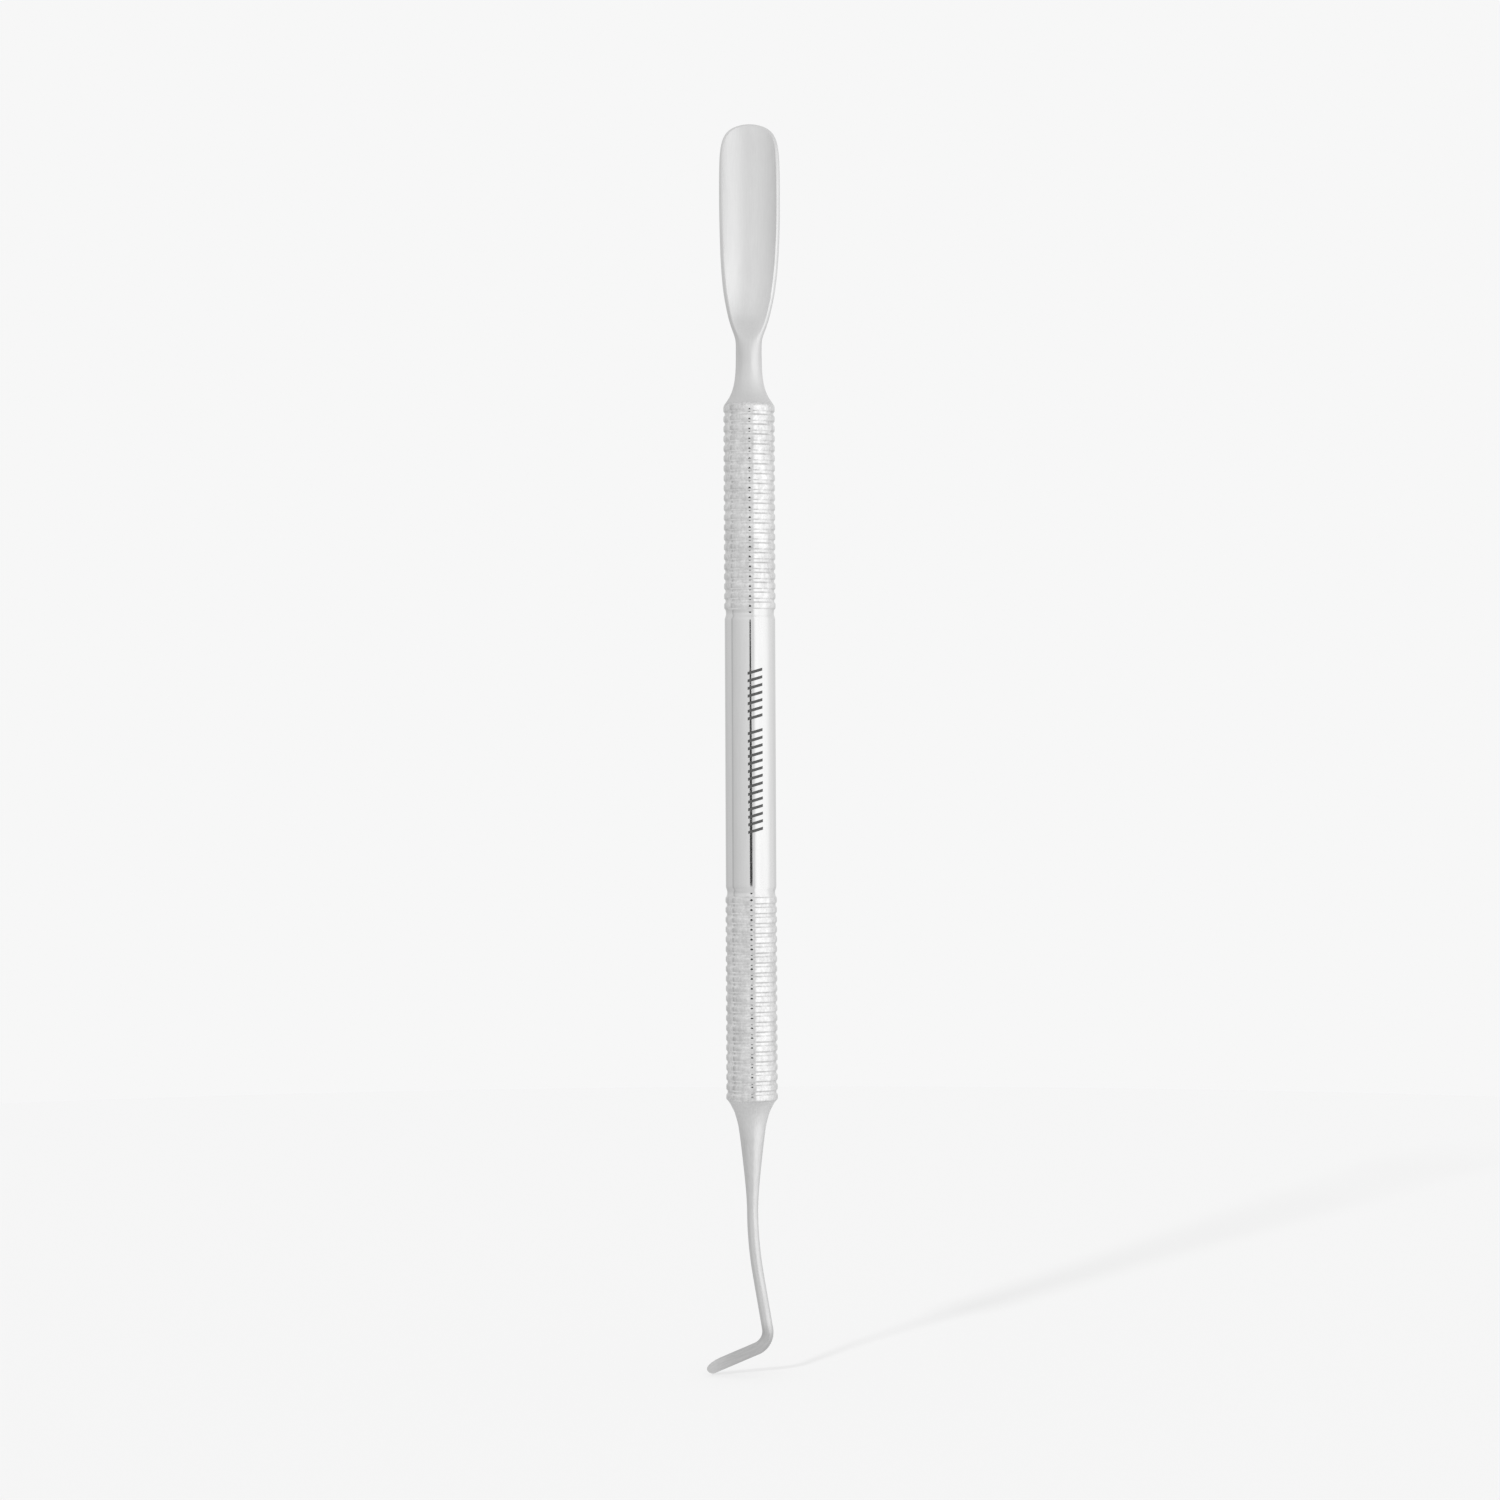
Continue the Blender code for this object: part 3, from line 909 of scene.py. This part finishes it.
def make_floor():
    """A pale round light table. The steel doesn't mirror it."""
    material, shader = new_material("floor", 0.0, 0.8, (FLOOR_GREY, FLOOR_GREY, FLOOR_GREY))
    shader.inputs["Specular IOR Level"].default_value = 0.0
    shader.inputs["Emission Color"].default_value = (1.0, 1.0, 1.0, 1.0)
    shader.inputs["Emission Strength"].default_value = FLOOR_GLOW
    rim = [Vector(point) * MM for point in circle(0, FLOOR_RADIUS / MM, FLOOR_POINTS)]
    floor = new_object("floor", new_mesh("floor", rim, [tuple(range(len(rim)))], material))
    floor.location.z = CAD_BOX[0].z - FLOOR_GAP
    floor.visible_glossy = False


def make_key_light():
    """A weak low lamp on the left, for the faint shadow. The steel doesn't mirror it."""
    data = bpy.data.lights.new("key", "SUN")
    data.energy = KEY_STRENGTH
    data.angle = math.radians(KEY_SPREAD)
    key = new_object("key", data)
    turn = math.radians(KEY_AZIMUTH)
    travel = Vector((math.sin(turn), math.cos(turn), -math.tan(math.radians(KEY_DESCENT))))
    key.rotation_euler = travel.to_track_quat("-Z", "Y").to_euler()
    key.visible_glossy = False


def add_mirrored(name, points, faces, location, glow):
    """Studio gear that only the steel sees, with one brightness or one for each of its points."""
    material, shader = new_material(name, 0.0, 1.0, (0.0, 0.0, 0.0))
    mesh = new_mesh(name, points, faces, material)
    shader.inputs["Specular IOR Level"].default_value = 0.0
    shader.inputs["Emission Color"].default_value = (1.0, 1.0, 1.0, 1.0)
    if isinstance(glow, float):
        shader.inputs["Emission Strength"].default_value = glow
    else:
        mesh.attributes.new("glow", "FLOAT", "POINT").data.foreach_set("value", glow)
        reading = material.node_tree.nodes.new("ShaderNodeAttribute")
        reading.attribute_name = "glow"
        material.node_tree.links.new(reading.outputs["Fac"], shader.inputs["Emission Strength"])
    gear = new_object(name, mesh)
    gear.location = location
    gear.visible_camera = False
    gear.visible_diffuse = False
    gear.visible_shadow = False


def make_lens():
    """The dark front of the camera, wider low down."""
    bottom, top = LENS_SHAPE[0][0], LENS_SHAPE[-1][0]
    heights = [mix(bottom, top, i / LENS_STEPS) for i in range(LENS_STEPS + 1)]
    right = [(max(0.0, read_table(LENS_SHAPE, height)[0]), 0.0, height) for height in heights]
    left = [(-x, y, height) for x, y, height in right[-2:0:-1]]
    rim = right + left
    place = (CAMERA_DISTANCE * math.tan(math.radians(LENS_AZIMUTH)), -CAMERA_DISTANCE, 0.0)
    add_mirrored("lens", rim, [tuple(range(len(rim)))], place, LENS_BRIGHTNESS)


def make_softbox():
    """A tall bent panel of light, with a brightness of 1 at its upper and lower ends."""
    points, glow, faces = [], [], []
    azimuths = range(SOFTBOX[0][0], SOFTBOX[-1][0] + 1)
    top, bottom = max(row[3] for row in SOFTBOX), -SOFTBOX_BELOW[1]
    for azimuth in azimuths:
        turn = math.radians(azimuth)
        x, y = math.sin(turn) * SOFTBOX_DISTANCE, -math.cos(turn) * SOFTBOX_DISTANCE
        brightness, dims_from, dims_to = read_table(SOFTBOX, azimuth)
        for i in range(SOFTBOX_ROWS + 1):
            height = mix(bottom, top, i / SOFTBOX_ROWS)
            points.append((x, y, height))
            dimmed = ease(height, dims_from, dims_to) + ease(-height, *SOFTBOX_BELOW)
            glow.append(mix(brightness, 1.0, dimmed))
    for i in range(len(azimuths) - 1):
        for j in range(SOFTBOX_ROWS):
            corner = i * (SOFTBOX_ROWS + 1) + j
            faces.append((corner, corner + 1, corner + SOFTBOX_ROWS + 2, corner + SOFTBOX_ROWS + 1))
    add_mirrored("softbox", points, faces, (0.0, 0.0, 0.0), glow)


def angle_ramp(tree, azimuth, table):
    """The table's brightness at this azimuth."""
    place = math_node(tree, "MULTIPLY_ADD", azimuth, 0.5 / math.pi, 0.5)
    ramp = tree.nodes.new("ShaderNodeValToRGB")
    tree.links.new(place, ramp.inputs["Fac"])
    stops = ramp.color_ramp.elements
    while len(stops) < len(table):
        stops.new(0.5)
    for stop, (degrees, brightness) in zip(stops, table):
        stop.position = 0.5 + degrees / 360
        stop.color = (brightness, brightness, brightness, 1.0)
    return ramp.outputs["Color"]


def make_world():
    """A plain pale background for the camera, and the studio that the steel mirrors."""
    world = bpy.data.worlds.new("studio")
    bpy.context.scene.world = world
    world.use_nodes = True
    tree = world.node_tree
    facing = tree.nodes.new("ShaderNodeTexCoord")
    split = tree.nodes.new("ShaderNodeSeparateXYZ")
    tree.links.new(facing.outputs["Generated"], split.inputs["Vector"])
    right, away, up = split.outputs
    azimuth = math_node(tree, "ARCTAN2", right, math_node(tree, "MULTIPLY", away, -1.0))
    around = angle_ramp(tree, azimuth, SURROUNDINGS)
    walls = math_node(tree, "MULTIPLY", around, remap(tree, up, WALL_HEIGHTS, WALLS))
    steep = remap(tree, math_node(tree, "ABSOLUTE", up), CEILING_HEIGHTS, (0.0, 1.0))
    mirrored = blend(tree, steep, walls, CEILING)
    path = tree.nodes.new("ShaderNodeLightPath")
    unseen = blend(tree, path.outputs["Is Diffuse Ray"], mirrored, DAYLIGHT)
    strength = blend(tree, path.outputs["Is Camera Ray"], unseen, BACKGROUND)
    background = tree.nodes["Background"]
    background.inputs["Color"].default_value = (1.0, 1.0, 1.0, 1.0)
    tree.links.new(strength, background.inputs["Strength"])


def make_studio():
    make_camera()
    make_floor()
    make_key_light()
    make_lens()
    make_softbox()
    make_world()
    bpy.context.scene.view_settings.view_transform = "Standard"


def dress_rings():
    braze = silver_braze()
    for name in ("upper_braze_ring", "lower_braze_ring"):
        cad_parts[name].material_slots[0].material = braze


def add_piece(piece, node=None):
    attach(piece, "root")
    if node:
        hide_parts(node)


def main():
    add_piece(make_handle(polished_steel()), "handle_tube")
    satin = satin_steel("satin_steel", SCOOP_TONES, SCOOP_ROUGHNESS, SCOOP_GRAIN)
    add_piece(make_scoop(satin), "rounded_pusher")
    blade_satin = satin_steel("satin_steel_blade", BLADE_TONES_AND_TIP_HIGHLIGHT, BLADE_ROUGHNESS, BLADE_GRAIN)
    add_piece(make_blade(blade_satin), "bent_blade")
    add_piece(make_strokes(etched_steel()))
    dress_rings()
    make_studio()


main()
